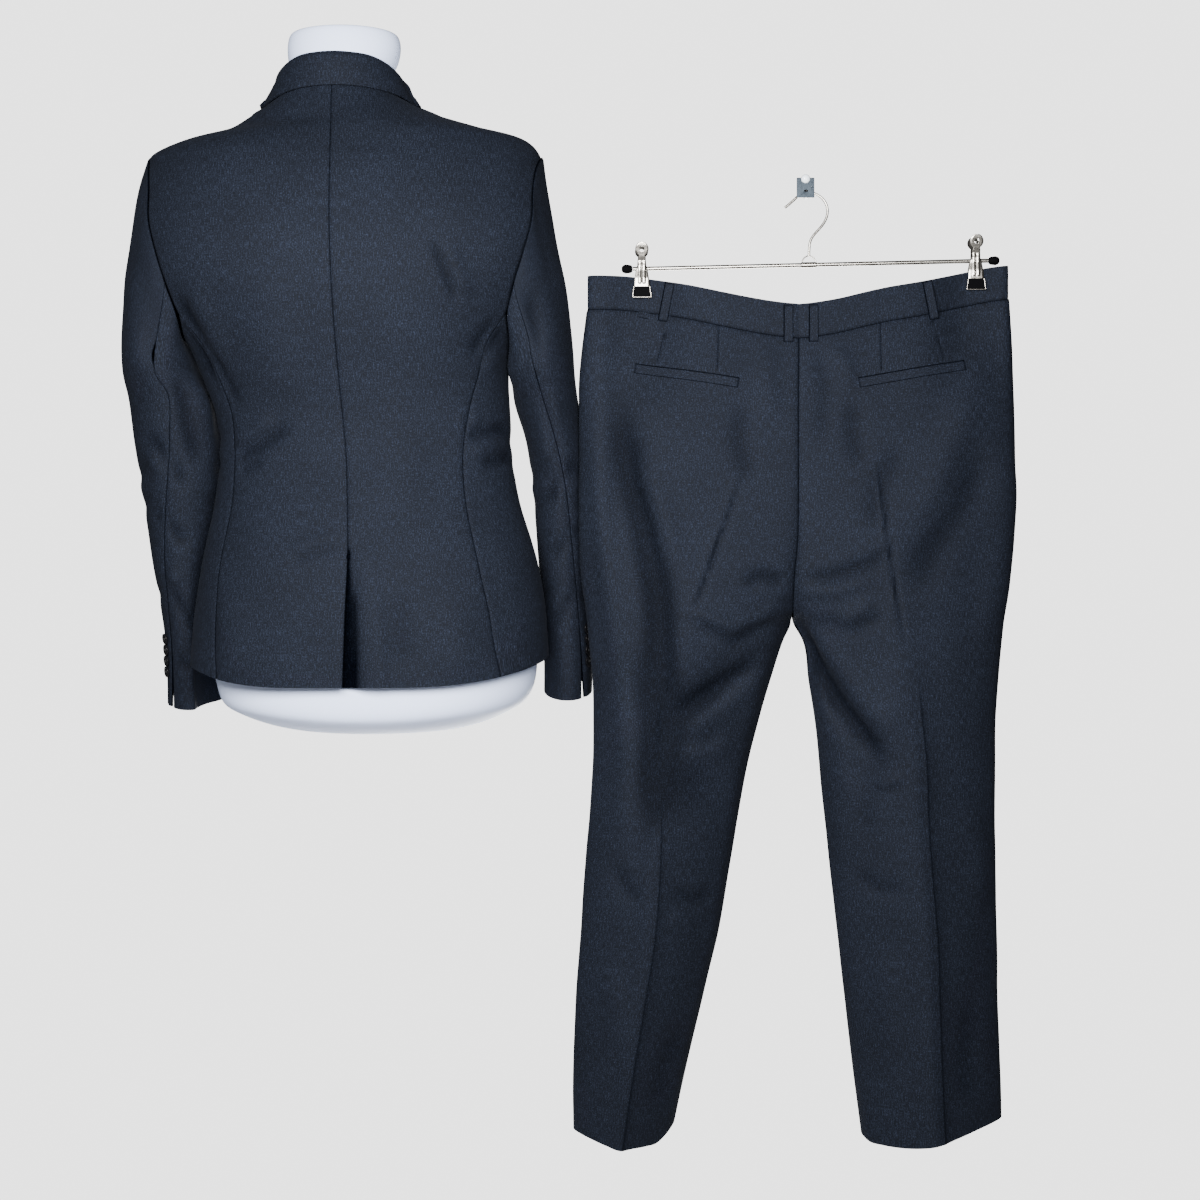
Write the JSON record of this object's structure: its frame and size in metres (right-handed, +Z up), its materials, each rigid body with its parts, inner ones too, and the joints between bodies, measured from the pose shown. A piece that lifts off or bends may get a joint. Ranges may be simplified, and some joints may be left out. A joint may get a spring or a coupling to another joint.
{
  "type": "two-piece suit on a limbless dress form and a wall-hook clip hanger",
  "caption": "Dark two-piece suit seen from behind: jacket with a back vent on a limbless dress form, trousers clipped by the waistband on a hanger from a wall hook.",
  "frame": {"origin": "the middle of the back face of the wall hook's plate, on the wall", "axes": "+Y goes into the wall, +Z is up, and +X runs along the wall, to the right for someone who faces it; the jacket's back faces -Y"},
  "size_m": [0.9829, 0.2797, 1.2167],
  "materials": {
    "suiting": "dark navy worsted, fine heather, matt",
    "suiting_shade": "dark navy worsted, matt",
    "horn_button": "black, satin",
    "form_shell": "white, satin",
    "chrome": "polished",
    "zinc": "galvanised, satin",
    "black_rubber": "black, matt"
  },
  "bodies": {
    "root": {"form_neck": "form_shell", "form_peg": "zinc", "form_peg_plate": "zinc", "form_torso": "form_shell", "hanger_clip_left_back_jaw": "chrome", "hanger_clip_left_back_pad": "black_rubber", "hanger_clip_left_front_jaw": "chrome", "hanger_clip_left_front_pad": "black_rubber", "hanger_clip_right_back_jaw": "chrome", "hanger_clip_right_back_pad": "black_rubber", "hanger_clip_right_front_jaw": "chrome", "hanger_clip_right_front_pad": "black_rubber", "hanger_end_left": "black_rubber", "hanger_end_right": "black_rubber", "hanger_eye": "chrome", "hanger_hook": "chrome", "hanger_rod": "chrome", "jacket_back_left": "suiting", "jacket_back_right": "suiting", "jacket_button": "horn_button", "jacket_collar": "suiting", "jacket_cuff_button_left_1": "horn_button", "jacket_cuff_button_left_2": "horn_button", "jacket_cuff_button_left_3": "horn_button", "jacket_cuff_button_left_4": "horn_button", "jacket_cuff_button_right_1": "horn_button", "jacket_cuff_button_right_2": "horn_button", "jacket_cuff_button_right_3": "horn_button", "jacket_cuff_button_right_4": "horn_button", "jacket_front_left": "suiting", "jacket_front_right": "suiting", "jacket_lapel_left": "suiting", "jacket_lapel_right": "suiting", "jacket_side_left": "suiting", "jacket_side_right": "suiting", "jacket_sleeve_left_top": "suiting", "jacket_sleeve_left_under": "suiting", "jacket_sleeve_right_top": "suiting", "jacket_sleeve_right_under": "suiting", "trousers_back_left": "suiting", "trousers_back_right": "suiting", "trousers_belt_loop_back_left": "suiting_shade", "trousers_belt_loop_back_middle_left": "suiting_shade", "trousers_belt_loop_back_middle_right": "suiting_shade", "trousers_belt_loop_back_right": "suiting_shade", "trousers_belt_loop_front_left": "suiting_shade", "trousers_belt_loop_front_right": "suiting_shade", "trousers_button": "horn_button", "trousers_front_left": "suiting", "trousers_front_right": "suiting", "trousers_waistband_left": "suiting_shade", "trousers_waistband_right": "suiting_shade", "trousers_welt_left": "suiting_shade", "trousers_welt_right": "suiting_shade", "wall_hook_arm": "zinc", "wall_hook_plate": "zinc", "wall_hook_stud": "form_shell"}
  },
  "joints": []
}
